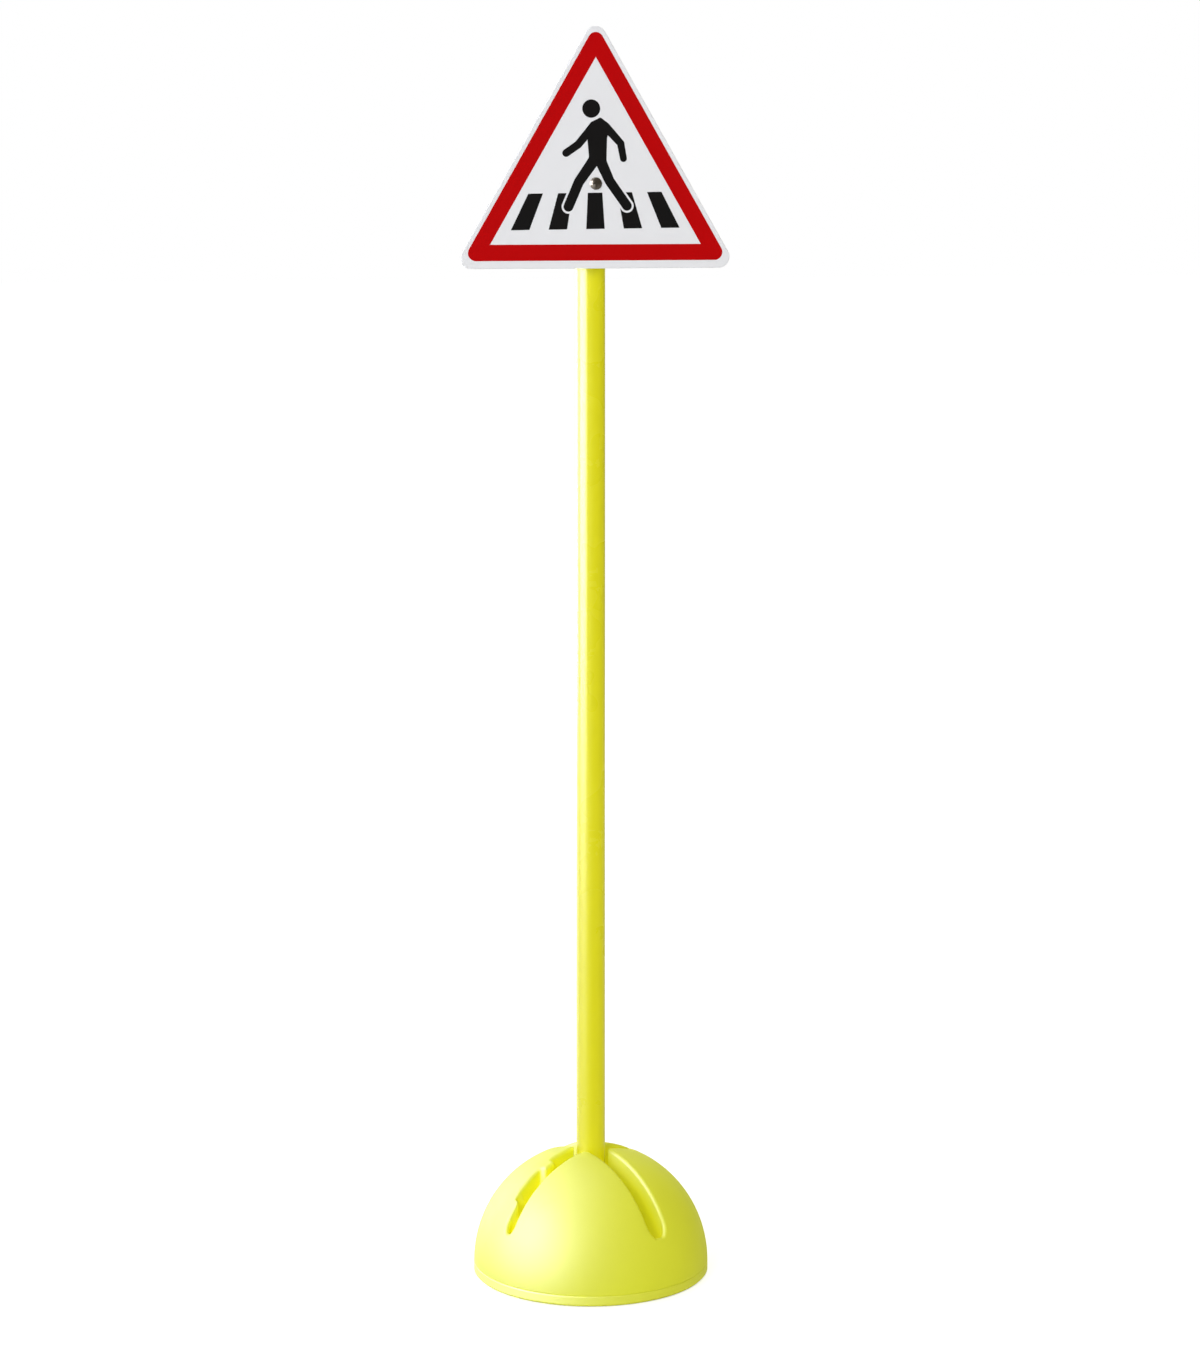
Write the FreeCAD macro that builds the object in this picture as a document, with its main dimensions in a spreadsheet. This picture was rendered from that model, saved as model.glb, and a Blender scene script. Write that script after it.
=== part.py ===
import FreeCAD, Part
import math
import os

import Sketcher
from FreeCAD import Placement, Rotation, Vector

# Pedestrian crossing sign on a pole, in a slotted and weighted foot. Millimetres.
# The origin is the middle of the foot's underside, +Z is up and the sign faces -Y.

doc = FreeCAD.newDocument("CrossingSign")
sheet = doc.addObject("Spreadsheet::Sheet", "Sizes")

sizes = {
    # foot: a ball's cap on a short rim, closed from below
    "dome_radius": 103.3,
    "dome_centre_height": 9.2,
    "seam_height": 10.0,
    "shell_wall": 3.0,
    "seam_bevel": 0.5,
    "slot_floor_height": 30.0,
    "slot_angle": 31.7,
    "slot_end_inset": 14.3,
    "slot_rim_chamfer": 1.6,
    "slot_corner_radius": 3.2,
    "board_slot_width": 17.4,
    "board_end_radius": 5.5,
    "grip_slot_width": 8.0,
    "grip_end_radius": 2.2,
    "recess_depth": 6.4,
    "recess_corner_radius": 2.6,
    "tip_chamfer": 2.5,
    "recess_end_inset": 12.0,
    "outer_recess_length": 28.8,
    "nub_width": 12.1,
    "socket_clearance": 0.25,
    "socket_wall": 3.0,
    "socket_floor_height": 12.0,
    # screw posts between the slots
    "post_inset": 19.3,
    "post_radius": 5.0,
    "post_foot_height": 8.0,
    # cover
    "cover_foot_height": 0.8,
    "cover_floor": 3.2,
    "cover_edge_chamfer": 1.6,
    "lip_height": 4.0,
    "lip_wall": 2.0,
    "lip_clearance": 0.3,
    "seat_radius": 7.0,
    "screw_recess_radius": 4.2,
    "screw_recess_depth": 3.7,
    "cover_screw_radius": 1.95,
    "cover_screw_head_radius": 3.8,
    "cover_screw_head_height": 2.4,
    "cover_screw_length": 16.0,
    "cover_cross_length": 4.4,
    "cover_cross_width": 1.0,
    "cover_cross_depth": 1.4,
    "screw_hole_clearance": 0.05,
    "cover_hole_clearance": 0.35,
    # rubber feet
    "rubber_inset": 17.3,
    "rubber_radius": 8.0,
    "rubber_thickness": 2.5,
    "rubber_edge_chamfer": 0.5,
    # ballast
    "ballast_clearance": 0.8,
    "ballast_hole_clearance": 1.0,
    # pole
    "pole_radius": 12.5,
    "pole_wall": 2.0,
    "pole_length": 1000.0,
    "cap_flange": 2.0,
    "cap_depth": 16.0,
    "cap_wall": 2.0,
    "cap_clearance": 0.1,
    "cap_edge_chamfer": 0.8,
    # sign plate and print
    "plate_drop": 60.7,
    "plate_side": 240.7,
    "plate_corner_radius": 9.2,
    "plate_thickness": 4.0,
    "plate_edge_chamfer": 0.6,
    "face_distance": 32.0,
    "print_rise": 1.9,
    "print_thickness": 0.15,
    "border_margin": 4.705,
    "border_band": 13.423,
    "border_corner_radius": 6.6,
    # clip
    "clip_clearance": 0.1,
    "clip_wall": 3.2,
    "clip_tall": 40.0,
    "clip_mouth_angle": 112.0,
    "clip_lip_radius": 1.4,
    "pad_width": 24.0,
    "flange_width": 56.0,
    "flange_tall": 46.0,
    "flange_thickness": 3.0,
    "flange_corner_radius": 6.0,
    # sign screw and nut
    "sign_screw_rise": 0.8,
    "sign_screw_radius": 2.5,
    "sign_screw_head_radius": 5.15,
    "sign_screw_head_height": 3.0,
    "sign_screw_head_rim": 0.9,
    "sign_screw_end_gap": 1.2,
    "sign_hole_clearance": 0.3,
    "cross_length": 5.2,
    "cross_width": 1.1,
    "cross_depth": 1.6,
    "nut_depth": 6.4,
    "nut_across_flats": 8.0,
    "nut_thickness": 4.0,
    "nut_clearance": 0.1,
    "thread_clearance": 0.05,
}

# The walking figure's joints on the print: sideways, upwards and the limb's half width.
walker_joints = {
    "head": (-3.8, 60.5, 7.5),
    "neck": (3.7, 51.0, 2.0),
    "left_shoulder": (-1.5, 46.7, 3.6),
    "right_shoulder": (8.3, 45.6, 3.6),
    "left_chest": (-3.2, 34.5, 3.7),
    "right_chest": (5.9, 37.0, 3.6),
    "left_waist": (-1.9, 22.0, 3.85),
    "right_waist": (5.3, 19.5, 3.7),
    "left_elbow": (-14.8, 31.0, 3.25),
    "left_hand": (-24.9, 24.1, 3.2),
    "right_elbow": (20.9, 32.0, 3.1),
    "right_hand": (23.3, 19.5, 2.85),
    "left_hip": (-1.3, 18.4, 4.8),
    "left_knee": (-14.2, 0.3, 4.2),
    "left_foot": (-23.0, -20.1, 4.1),
    "right_hip": (4.5, 16.4, 4.7),
    "right_knee": (11.75, 0.75, 4.1),
    "right_foot": (26.3, -19.6, 4.0),
}
walker_limbs = [
    ("neck", "left_shoulder"), ("neck", "right_shoulder"),
    ("left_shoulder", "left_chest"), ("left_chest", "left_waist"),
    ("right_shoulder", "right_chest"), ("right_chest", "right_waist"),
    ("left_shoulder", "left_elbow"), ("left_elbow", "left_hand"),
    ("right_shoulder", "right_elbow"), ("right_elbow", "right_hand"),
    ("left_waist", "left_hip"), ("left_hip", "left_knee"), ("left_knee", "left_foot"),
    ("right_waist", "right_hip"), ("right_hip", "right_knee"), ("right_knee", "right_foot"),
]
walker_trunk = ["neck", "left_shoulder", "left_chest", "left_waist", "left_hip", "right_hip",
                "right_waist", "right_chest", "right_shoulder"]
walker_legs = [("left_knee", "left_foot"), ("right_knee", "right_foot")]

for joint, (side, rise, half) in walker_joints.items():
    sizes["walker_" + joint + "_side"] = side
    sizes["walker_" + joint + "_rise"] = rise
    sizes["walker_" + joint + "_half"] = half

# The road stripes spread towards the reader: pitch and width at their far and near ends.
sizes.update({
    "stripe_far_pitch": 24.95,
    "stripe_near_pitch": 31.7,
    "stripe_far_width": 12.2,
    "stripe_near_width": 15.5,
    "stripe_far_rise": -8.65,
    "stripe_near_rise": -38.6,
    "stripe_shift": -0.7,
    "stripe_angle": 0.65,
    "walker_halo": 1.7,
})

for row, (name, value) in enumerate(sizes.items(), start=1):
    sheet.set("A%d" % row, name)
    sheet.set("B%d" % row, str(value))
    sheet.setAlias("B%d" % row, name)
doc.recompute()

stripe_offsets = (-2, -1, 0, 1, 2)
post_count = 4
rubber_count = 4


def cell(expression):
    """Put the sheet's name before each alias in an expression."""
    words = []
    word = ""
    for mark in expression + " ":
        if mark.isalnum() or mark == "_":
            word += mark
            continue
        words.append("Sizes." + word if word in sizes else word)
        words.append(mark)
        word = ""
    return "".join(words).strip()


def number(expression):
    return float(sheet.evalExpression(cell(expression)))


def bind(obj, path, expression):
    obj.setExpression(path, cell(expression))


def new_body(node):
    body = doc.addObject("PartDesign::Body", node)
    body.Label = node
    body.Placement = Placement(Vector(0, 0, 0), Rotation(Vector(0, 0, 1), 0))
    return body


def new_sketch(body, name, role, away=None, up=None, turn=None):
    """A sketch on an origin plane of its body: away from it, up in it or turned in it."""
    sketch = body.newObject("Sketcher::SketchObject", body.Name + "_" + name)
    plane = next(item for item in body.Origin.OriginFeatures if item.Role == role)
    sketch.AttachmentSupport = [(plane, "")]
    sketch.MapMode = "FlatFace"
    if away:
        bind(sketch, "AttachmentOffset.Base.z", away)
    if up:
        bind(sketch, "AttachmentOffset.Base.y", up)
    if turn:
        bind(sketch, "AttachmentOffset.Rotation.Angle", turn)
    return sketch


def join(sketch, first, first_end, second, second_end):
    sketch.addConstraint(Sketcher.Constraint("Coincident", first, first_end, second, second_end))


def pin(sketch, item, end, across=None, along=None):
    """Hold a point of the sketch at distances from the sketch's origin."""
    for kind, expression in (("DistanceX", across), ("DistanceY", along)):
        if expression is not None:
            constraint = Sketcher.Constraint(kind, -1, 1, item, end, number(expression))
            index = sketch.addConstraint(constraint)
            bind(sketch, "Constraints[%d]" % index, expression)


def hold_radius(sketch, item, radius):
    index = sketch.addConstraint(Sketcher.Constraint("Radius", item, number(radius)))
    bind(sketch, "Constraints[%d]" % index, radius)


def line(sketch, start, end):
    points = [Vector(number(across), number(along), 0) for across, along in (start, end)]
    return sketch.addGeometry(Part.LineSegment(*points), False)


def loop(sketch, corners):
    first = sketch.GeometryCount
    count = len(corners)
    for index, corner in enumerate(corners):
        line(sketch, corner, corners[(index + 1) % count])
    for index, (across, along) in enumerate(corners):
        join(sketch, first + index, 2, first + (index + 1) % count, 1)
        pin(sketch, first + index, 1, across, along)


def rectangle(sketch, left, low, right, high):
    loop(sketch, [(left, low), (right, low), (right, high), (left, high)])


def triangle(sketch, side):
    foot = "-%s*sqrt(3)/6" % side
    loop(sketch, [("-%s/2" % side, foot), ("%s/2" % side, foot), ("0", "%s*sqrt(3)/3" % side)])


def cross(sketch, across, along, length, width):
    quarter = [(length, width), (width, width), (width, length)]
    corners = []
    for flip, lift, order in (("+", "+", 1), ("-", "+", -1), ("-", "-", 1), ("+", "-", -1)):
        for wide, tall in quarter[::order]:
            corners.append((across + flip + wide + "/2", along + lift + tall + "/2"))
    loop(sketch, corners)


def hexagon(sketch, flats):
    """Six sides about the sketch's origin, two of them level."""
    side = "(" + flats + ")/sqrt(3)"
    half = "(" + flats + ")/2"
    loop(sketch, [(side, "0"), (side + "/2", half), ("-" + side + "/2", half),
                  ("-" + side, "0"), ("-" + side + "/2", "-" + half), (side + "/2", "-" + half)])


def disc(sketch, across, along, radius):
    middle = Vector(number(across), number(along), 0)
    circle = sketch.addGeometry(Part.Circle(middle, Vector(0, 0, 1), number(radius)), False)
    pin(sketch, circle, 3, across, along)
    hold_radius(sketch, circle, radius)


def arc(sketch, across, along, radius, first, last):
    """An arc round a held centre, from the first to the last angle; its ends stay free."""
    middle = Vector(number(across), number(along), 0)
    circle = Part.Circle(middle, Vector(0, 0, 1), number(radius))
    span = Part.ArcOfCircle(circle, math.radians(first), math.radians(last))
    item = sketch.addGeometry(span, False)
    pin(sketch, item, 3, across, along)
    hold_radius(sketch, item, radius)
    return item


def bar(sketch, reach, half):
    """A rectangle about the sketch's origin, long across it."""
    rectangle(sketch, "-(" + reach + ")", "-(" + half + ")", reach, half)


def capsule(sketch, one, other, margin="0"):
    """The outline round two of the walker's joints, with straight sides tangent to both."""
    places = []
    for name in (one, other):
        places.append(tuple("walker_%s_%s" % (name, kind) for kind in ("side", "rise", "half")))
    (side_a, rise_a, half_a), (side_b, rise_b, half_b) = places
    start = Vector(number(side_a), number(rise_a), 0)
    end = Vector(number(side_b), number(rise_b), 0)
    radius_a = number(half_a + "+" + margin)
    radius_b = number(half_b + "+" + margin)
    heading = math.degrees(math.atan2(end.y - start.y, end.x - start.x))
    lean = math.degrees(math.acos((radius_a - radius_b) / start.distanceToPoint(end)))
    first = arc(sketch, side_a, rise_a, half_a + "+" + margin, heading + lean, heading - lean + 360)
    last = arc(sketch, side_b, rise_b, half_b + "+" + margin, heading - lean, heading + lean)
    ends = []
    for middle, radius, angle in ((start, radius_a, heading - lean), (end, radius_b, heading - lean),
                                  (end, radius_b, heading + lean), (start, radius_a, heading + lean)):
        way = math.radians(angle)
        ends.append(middle + Vector(math.cos(way), math.sin(way), 0) * radius)
    right = sketch.addGeometry(Part.LineSegment(ends[0], ends[1]), False)
    left = sketch.addGeometry(Part.LineSegment(ends[2], ends[3]), False)
    for pair in ((first, 2, right, 1), (right, 2, last, 1), (last, 2, left, 1), (left, 2, first, 1)):
        sketch.addConstraint(Sketcher.Constraint("Tangent", *pair))


def finish(feature):
    doc.recompute()
    if "Invalid" in feature.State or "Error" in feature.State or feature.Shape.isNull():
        raise RuntimeError(feature.Name + " fails")
    return feature


def pad(body, name, sketch, length, backwards=False):
    feature = body.newObject("PartDesign::Pad", body.Name + "_" + name)
    feature.Profile = sketch
    bind(feature, "Length", length)
    feature.Reversed = backwards
    return finish(feature)


def check_cut(feature, before):
    if not feature.Shape.Volume < before - 1e-3:
        raise RuntimeError(feature.Name + " cuts nothing")
    return feature


def pocket(body, name, sketch, length, backwards=False):
    before = body.Shape.Volume
    feature = body.newObject("PartDesign::Pocket", body.Name + "_" + name)
    feature.Profile = sketch
    bind(feature, "Length", length)
    feature.Reversed = backwards
    return check_cut(finish(feature), before)


def turned(body, name, sketch, kind="Revolution"):
    before = body.Shape.Volume if kind == "Groove" else math.inf
    feature = body.newObject("PartDesign::" + kind, body.Name + "_" + name)
    feature.Profile = sketch
    feature.ReferenceAxis = (sketch, ["V_Axis"])
    feature.Angle = 360
    return check_cut(finish(feature), before)


def polar(body, name, features, sketch, count):
    pattern = body.newObject("PartDesign::PolarPattern", body.Name + "_" + name)
    pattern.Originals = features
    pattern.Axis = (sketch, ["N_Axis"])
    pattern.Angle = 360
    pattern.Occurrences = count
    body.Tip = pattern
    return finish(pattern)


def edges_where(body, test):
    edges = enumerate(body.Shape.Edges, start=1)
    return ["Edge%d" % index for index, edge in edges if test(edge)]


def dress(body, name, kind, edges, path, expression):
    """A fillet or chamfer on the named edges of the body as it stands."""
    if not edges:
        raise RuntimeError(body.Name + " " + name + " finds no edges")
    base = body.Tip
    feature = body.newObject("PartDesign::" + kind, body.Name + "_" + name)
    feature.Base = (base, edges)
    bind(feature, path, expression)
    return finish(feature)


def level(edge, height):
    box = edge.BoundBox
    return abs(box.ZMin - height) < 1e-4 and abs(box.ZMax - height) < 1e-4


def reach_of(edge):
    """The greatest distance of an edge's ends from the upright axis."""
    return max(math.hypot(vertex.X, vertex.Y) for vertex in edge.Vertexes)


def upright_edges(body, spots, turn):
    """The upright edges at spots of a frame turned about the axis, and at their opposites."""
    back = Rotation(Vector(0, 0, 1), -turn)
    both = spots + [(-across, -along) for across, along in spots]

    def found(edge):
        box = edge.BoundBox
        if box.XLength > 1e-4 or box.YLength > 1e-4:
            return False
        place = back.multVec(edge.Vertexes[0].Point)
        return any(math.hypot(place.x - across, place.y - along) < 1e-3 for across, along in both)

    return edges_where(body, found)


slot_frame = "slot_angle-90"
grip_frame = "slot_angle-180"
slot_reach = "(dome_radius-slot_end_inset)"
outer_recess_end = "(dome_radius-slot_end_inset-recess_end_inset)"
outer_recess_start = "(dome_radius-slot_end_inset-recess_end_inset-outer_recess_length)"
inner_recess_end = "(dome_radius-slot_end_inset-recess_end_inset-outer_recess_length-nub_width)"
dome_top = "dome_centre_height+dome_radius"
shell_inner = "(dome_radius-shell_wall)"
lip_outer = "(dome_radius-shell_wall-lip_clearance)"
lip_inner = "(dome_radius-shell_wall-lip_clearance-lip_wall)"
bore_radius = "(pole_radius+socket_clearance)"
board_half = "board_slot_width/2"
grip_half = "grip_slot_width/2"
recess_side = "(grip_slot_width/2+recess_depth)"
channel_foot = "slot_floor_height-shell_wall"
post_across = "(dome_radius-post_inset)*cos(45)"
post_along = "(dome_radius-post_inset)*sin(45)"
rubber_across = "(dome_radius-rubber_inset)"
plate_height = "(socket_floor_height+pole_length-plate_drop)"
screw_height = plate_height + "+sign_screw_rise"
print_height = plate_height + "+print_rise"
border_outer = "(plate_side-2*sqrt(3)*border_margin)"
border_inner = "(plate_side-2*sqrt(3)*(border_margin+border_band))"
nut_seat = "pole_radius+clip_clearance+nut_depth"


def arc_profile(sketch, outer, inner):
    """The section between two round arcs about the ball's centre, open at the seam level."""
    middle = "dome_centre_height"
    start = math.degrees(math.asin(number("(seam_height-dome_centre_height)/" + outer)))
    outside = arc(sketch, "0", middle, outer, start, 90)
    axis = line(sketch, ("0", middle + "+" + outer), ("0", middle + "+" + inner))
    inside = arc(sketch, "0", middle, inner, start, 90)
    rim = line(sketch, (inner, "seam_height"), (outer, "seam_height"))
    pin(sketch, axis, 1, "0")
    pin(sketch, axis, 2, "0")
    pin(sketch, rim, 1, None, "seam_height")
    pin(sketch, rim, 2, None, "seam_height")
    join(sketch, outside, 2, axis, 1)
    join(sketch, axis, 2, inside, 2)
    join(sketch, inside, 1, rim, 1)
    join(sketch, rim, 2, outside, 1)


def dome_shell():
    body = new_body("dome_shell")
    section = new_sketch(body, "section", "XZ_Plane")
    arc_profile(section, "dome_radius", shell_inner)
    turned(body, "cap", section)

    tall = "dome_radius+shell_wall"
    outline = new_sketch(body, "board_wall_plan", "XY_Plane", channel_foot, None, slot_frame)
    bar(outline, slot_reach + "+shell_wall", board_half + "+shell_wall")
    pad(body, "board_wall", outline, tall)
    outline = new_sketch(body, "grip_wall_plan", "XY_Plane", channel_foot, None, grip_frame)
    bar(outline, slot_reach + "+shell_wall", grip_half + "+shell_wall")
    pad(body, "grip_wall", outline, tall)
    outline = new_sketch(body, "recess_wall_plan", "XY_Plane", channel_foot, None, slot_frame)
    side = "-" + recess_side + "-shell_wall"
    rectangle(outline, side, "-" + outer_recess_end + "-shell_wall", "0", "0")
    walls = pad(body, "recess_wall", outline, tall)
    polar(body, "recess_walls", [walls], outline, 2)

    outline = new_sketch(body, "socket_plan", "XY_Plane", "socket_floor_height-socket_wall")
    disc(outline, "0", "0", bore_radius + "+socket_wall")
    pad(body, "socket", outline, tall)
    outline = new_sketch(body, "post_plan", "XY_Plane", "post_foot_height", None, slot_frame)
    disc(outline, post_across, post_along, "post_radius")
    post = pad(body, "post", outline, tall)
    polar(body, "posts", [post], outline, post_count)

    trim = new_sketch(body, "trim_section", "XZ_Plane")
    high = dome_top + "+dome_radius/2"
    wide = "dome_radius*1.2"
    start = math.degrees(math.asin(number("(seam_height-dome_centre_height)/dome_radius")))
    ball = arc(trim, "0", "dome_centre_height", "dome_radius", start, 90)
    axis = line(trim, ("0", dome_top), ("0", high))
    roof = line(trim, ("0", high), (wide, high))
    side = line(trim, (wide, high), (wide, "seam_height"))
    foot = line(trim, (wide, "seam_height"), ("dome_radius", "seam_height"))
    pin(trim, axis, 1, "0")
    pin(trim, axis, 2, "0", high)
    pin(trim, roof, 2, wide, high)
    pin(trim, side, 2, wide, "seam_height")
    pin(trim, foot, 2, None, "seam_height")
    for pair in ((ball, 2, axis, 1), (axis, 2, roof, 1), (roof, 2, side, 1), (side, 2, foot, 1),
                 (foot, 2, ball, 1)):
        join(trim, *pair)
    turned(body, "trim", trim, "Groove")

    outline = new_sketch(body, "board_slot_plan", "XY_Plane", "slot_floor_height", None, slot_frame)
    bar(outline, slot_reach, board_half)
    pocket(body, "board_slot", outline, tall, True)
    outline = new_sketch(body, "grip_slot_plan", "XY_Plane", "slot_floor_height", None, grip_frame)
    bar(outline, slot_reach, grip_half)
    pocket(body, "grip_slot", outline, tall, True)
    outline = new_sketch(body, "recess_plan", "XY_Plane", "slot_floor_height", None, slot_frame)
    rectangle(outline, "-" + recess_side, "-" + outer_recess_end, "0", "-" + outer_recess_start)
    outer = pocket(body, "outer_recess", outline, tall, True)
    inner_outline = new_sketch(body, "inner_recess_plan", "XY_Plane", "slot_floor_height", None, slot_frame)
    rectangle(inner_outline, "-" + recess_side, "-" + inner_recess_end, "0", "0")
    inner = pocket(body, "inner_recess", inner_outline, tall, True)
    polar(body, "recesses", [outer, inner], outline, 2)

    outline = new_sketch(body, "tip_plan", "XY_Plane", "slot_floor_height", None, slot_frame)
    loop(outline, [("0", "0"), (recess_side + "+tip_chamfer", board_half),
                   (recess_side, board_half + "+tip_chamfer")])
    tip = pocket(body, "tip", outline, tall, True)
    polar(body, "tips", [tip], outline, 2)

    turn = number(slot_frame)
    deep = number(recess_side)
    reach = number(slot_reach)
    half_board = number(board_half)
    half_grip = number(grip_half)
    steps = [number(place) for place in (outer_recess_end, outer_recess_start, inner_recess_end)]
    rounded = (("board_ends", [(reach, half_board), (reach, -half_board)], "board_end_radius"),
               ("grip_ends", [(half_grip, reach), (-half_grip, reach)], "grip_end_radius"),
               ("recess_corners", [(deep, step) for step in steps], "recess_corner_radius"))
    for name, spots, radius in rounded:
        dress(body, name, "Fillet", upright_edges(body, spots, turn), "Radius", radius)

    outline = new_sketch(body, "bore_plan", "XY_Plane", "socket_floor_height")
    disc(outline, "0", "0", bore_radius)
    pocket(body, "bore", outline, tall, True)

    bore = number(bore_radius)
    chamfer = number("tip_chamfer")
    spots = [(half_grip, step) for step in steps]
    spots += [(deep + chamfer, half_board), (deep, half_board + chamfer)]
    spots += [(-math.sqrt(bore ** 2 - half_board ** 2), half_board),
              (-half_grip, math.sqrt(bore ** 2 - half_grip ** 2))]
    dress(body, "corners", "Fillet", upright_edges(body, spots, turn), "Radius", "slot_corner_radius")
    ball_radius = number("dome_radius")
    seam = number("seam_height")

    def on_ball(face):
        surface = face.Surface
        return isinstance(surface, Part.Sphere) and abs(surface.Radius - ball_radius) < 1e-3

    def on_rim(edge):
        faces = body.Shape.ancestorsOfType(edge, Part.Face)
        balls = [face for face in faces if on_ball(face)]
        return balls and len(balls) < len(faces) and edge.BoundBox.ZMax > seam + 1

    dress(body, "slot_rims", "Chamfer", edges_where(body, on_rim), "Size", "slot_rim_chamfer")

    outline = new_sketch(body, "pilot_plan", "XY_Plane", "post_foot_height", None, slot_frame)
    disc(outline, post_across, post_along, "cover_screw_radius+screw_hole_clearance")
    depth = "cover_foot_height+screw_recess_depth+cover_screw_length+1-post_foot_height"
    pilot = pocket(body, "pilot", outline, depth, True)
    polar(body, "pilots", [pilot], outline, post_count)

    def at_seam(edge):
        return level(edge, seam) and reach_of(edge) > ball_radius - 1

    dress(body, "seam_edge", "Chamfer", edges_where(body, at_seam), "Size", "seam_bevel")
    return body


def bottom_cover():
    body = new_body("bottom_cover")
    section = new_sketch(body, "section", "XZ_Plane")
    foot = "cover_foot_height"
    floor = "cover_foot_height+cover_floor"
    inset = "dome_radius-cover_edge_chamfer"
    edge_height = "cover_foot_height+cover_edge_chamfer"
    lip_top = "seam_height+lip_height"
    loop(section, [("0", foot), (inset, foot), ("dome_radius", edge_height), ("dome_radius", "seam_height"),
                   (lip_outer, "seam_height"), (lip_outer, lip_top), (lip_inner, lip_top),
                   (lip_inner, floor), ("0", floor)])
    turned(body, "dish", section)

    outline = new_sketch(body, "seat_plan", "XY_Plane", floor, None, slot_frame)
    disc(outline, post_across, post_along, "seat_radius")
    seat = pad(body, "seat", outline, "post_foot_height-" + floor.replace("+", "-"))
    polar(body, "seats", [seat], outline, post_count)
    outline = new_sketch(body, "recess_plan", "XY_Plane", foot, None, slot_frame)
    disc(outline, post_across, post_along, "screw_recess_radius")
    recess = pocket(body, "recess", outline, "screw_recess_depth", True)
    outline = new_sketch(body, "hole_plan", "XY_Plane", foot, None, slot_frame)
    disc(outline, post_across, post_along, "cover_screw_radius+cover_hole_clearance")
    hole = pocket(body, "hole", outline, "post_foot_height", True)
    polar(body, "holes", [recess, hole], outline, post_count)
    outline = new_sketch(body, "rubber_plan", "XY_Plane", foot, None, slot_frame)
    disc(outline, rubber_across, "0", "rubber_radius")
    rubber = pocket(body, "rubber_recess", outline, "rubber_thickness-cover_foot_height", True)
    polar(body, "rubber_recesses", [rubber], outline, rubber_count)

    seam = number("seam_height")
    rim = number("dome_radius")

    def at_seam(edge):
        return level(edge, seam) and reach_of(edge) > rim - 0.5

    dress(body, "seam_edge", "Chamfer", edges_where(body, at_seam), "Size", "seam_bevel")
    return body


def ballast():
    body = new_body("ballast")
    floor = "cover_foot_height+cover_floor"
    outline = new_sketch(body, "plan", "XY_Plane", floor)
    disc(outline, "0", "0", lip_inner + "-ballast_clearance")
    disc(outline, "0", "0", bore_radius + "+socket_wall+ballast_hole_clearance")
    pad(body, "block", outline, channel_foot + "-ballast_hole_clearance-" + floor.replace("+", "-"))
    outline = new_sketch(body, "post_plan", "XY_Plane", floor, None, slot_frame)
    disc(outline, post_across, post_along, "seat_radius+ballast_hole_clearance")
    hole = pocket(body, "post_hole", outline, "slot_floor_height", True)
    polar(body, "post_holes", [hole], outline, post_count)
    return body


def cover_screws():
    body = new_body("cover_screws")
    seat = "cover_foot_height+screw_recess_depth"
    head_foot = seat + "-cover_screw_head_height"
    outline = new_sketch(body, "head_plan", "XY_Plane", head_foot, None, slot_frame)
    disc(outline, post_across, post_along, "cover_screw_head_radius")
    head = pad(body, "head", outline, "cover_screw_head_height")
    outline = new_sketch(body, "shank_plan", "XY_Plane", seat, None, slot_frame)
    disc(outline, post_across, post_along, "cover_screw_radius")
    shank = pad(body, "shank", outline, "cover_screw_length")
    outline = new_sketch(body, "cross_plan", "XY_Plane", head_foot, None, slot_frame)
    cross(outline, post_across, post_along, "cover_cross_length", "cover_cross_width")
    drive = pocket(body, "cross", outline, "cover_cross_depth", True)
    polar(body, "four", [head, shank, drive], outline, post_count)
    return body


def rubber_feet():
    body = new_body("rubber_feet")
    outline = new_sketch(body, "plan", "XY_Plane", None, None, slot_frame)
    disc(outline, rubber_across, "0", "rubber_radius")
    foot = pad(body, "foot", outline, "rubber_thickness")
    polar(body, "four", [foot], outline, rubber_count)
    edges = edges_where(body, lambda edge: level(edge, 0))
    dress(body, "edges", "Chamfer", edges, "Size", "rubber_edge_chamfer")
    return body


def pole():
    body = new_body("pole")
    outline = new_sketch(body, "plan", "XY_Plane", "socket_floor_height+cap_flange")
    disc(outline, "0", "0", "pole_radius")
    disc(outline, "0", "0", "pole_radius-pole_wall")
    pad(body, "tube", outline, "pole_length-2*cap_flange")
    return body


def pole_cap(node, height, upwards):
    """A plug for a tube's end: its flange's outer face at a height, its spigot inside."""
    body = new_body(node)
    outline = new_sketch(body, "flange_plan", "XY_Plane", height)
    disc(outline, "0", "0", "pole_radius")
    pad(body, "flange", outline, "cap_flange", not upwards)
    inner_face = height + ("+" if upwards else "-") + "cap_flange"
    outline = new_sketch(body, "spigot_plan", "XY_Plane", inner_face)
    disc(outline, "0", "0", "pole_radius-pole_wall-cap_clearance")
    disc(outline, "0", "0", "pole_radius-pole_wall-cap_clearance-cap_wall")
    pad(body, "spigot", outline, "cap_depth", not upwards)
    outer = number(height)
    edges = edges_where(body, lambda edge: level(edge, outer))
    dress(body, "edge", "Chamfer", edges, "Size", "cap_edge_chamfer")
    return body


def runs_back(edge):
    box = edge.BoundBox
    return box.XLength < 1e-4 and box.ZLength < 1e-4


def in_face(edge, place):
    box = edge.BoundBox
    return abs(box.YMin - place) < 1e-4 and abs(box.YMax - place) < 1e-4


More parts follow.
